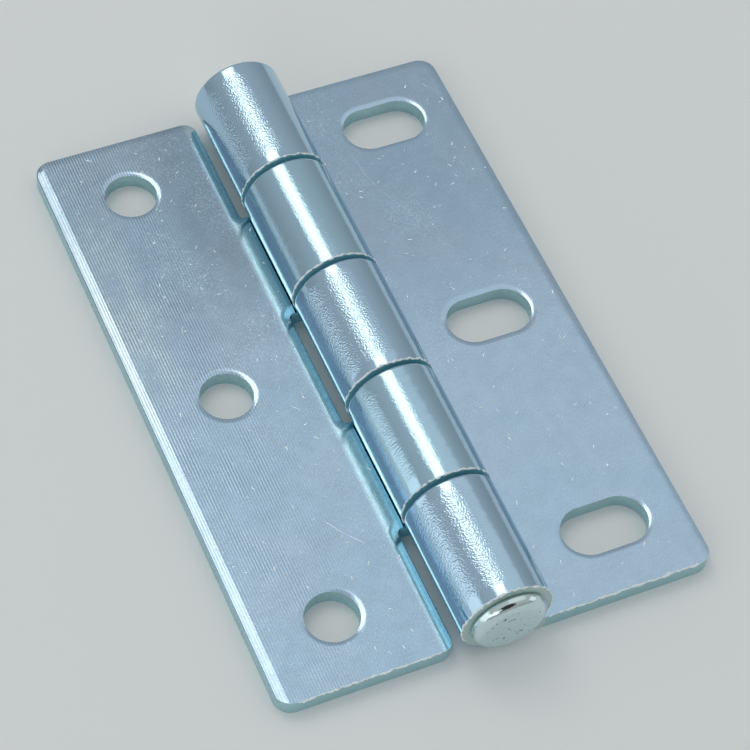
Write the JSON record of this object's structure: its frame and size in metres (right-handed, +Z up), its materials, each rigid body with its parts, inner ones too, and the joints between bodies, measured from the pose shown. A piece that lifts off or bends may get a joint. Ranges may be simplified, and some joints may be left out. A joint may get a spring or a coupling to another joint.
{
  "type": "cabinet butt hinge",
  "caption": "Flat butt hinge for a cabinet door: two zinc-plated steel leaves rolled into interleaved knuckles on a headed pin, one leaf with round screw holes, the other with slots.",
  "frame": {"origin": "under the middle of the pin, on the plane of the leaves' undersides", "axes": "+X across the hinge towards the slotted leaf, +Y along the pin away from its head, +Z up through the barrel"},
  "size_m": [0.05, 0.077, 0.0103],
  "materials": {
    "zinc_sheet": "bright blue-white zinc plate on rolled sheet",
    "zinc_pin": "bright blue-white zinc plate"
  },
  "bodies": {
    "slotted_side": {"slotted_leaf": "zinc_sheet", "hinge_pin": "zinc_pin"},
    "round_hole_side": {"round_hole_leaf": "zinc_sheet"}
  },
  "joints": [
    {"name": "leaf_swing", "type": "hinge", "parent": "slotted_side", "child": "round_hole_side", "pos_m": [0, 0, 0.00515], "axis": [0, 1, 0], "range_deg": [-90, 193]}
  ]
}
